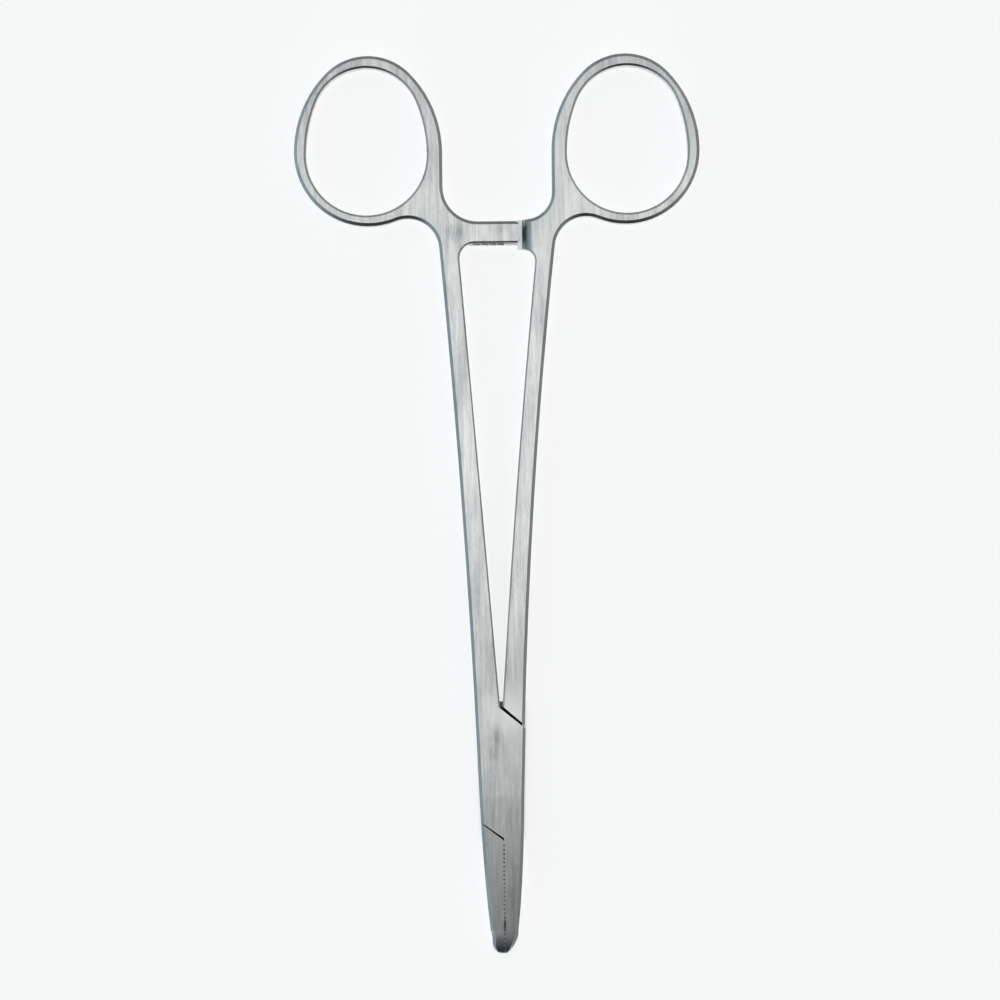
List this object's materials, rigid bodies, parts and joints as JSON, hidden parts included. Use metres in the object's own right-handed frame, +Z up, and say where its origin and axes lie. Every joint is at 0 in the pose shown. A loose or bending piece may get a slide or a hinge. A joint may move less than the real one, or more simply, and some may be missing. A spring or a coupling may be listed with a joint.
{
  "type": "needle holder",
  "caption": "Straight ring-handled needle holder with a box lock, an interlocking ratchet between the shanks and serrated tapering jaws.",
  "frame": {"origin": "pivot axis at the box face that the instrument lies on", "axes": "+Z up along the pivot axis, +Y along the shanks towards the finger rings, +X towards the ring of the tongue arm"},
  "size_m": [0.0812, 0.1797, 0.0057],
  "materials": {
    "satin_steel": "satin, fine lengthwise brushing",
    "pin_steel": "ground flush, satin"
  },
  "bodies": {
    "box_side": {"box_arm": "satin_steel", "pivot_pin": "pin_steel"},
    "tongue_side": {"tongue_arm": "satin_steel"}
  },
  "joints": [
    {"name": "box_lock_hinge", "type": "hinge", "parent": "box_side", "child": "tongue_side", "pos_m": [0, 0, 0.00285], "axis": [0, 0, -1], "range_deg": [0, 60]}
  ]
}
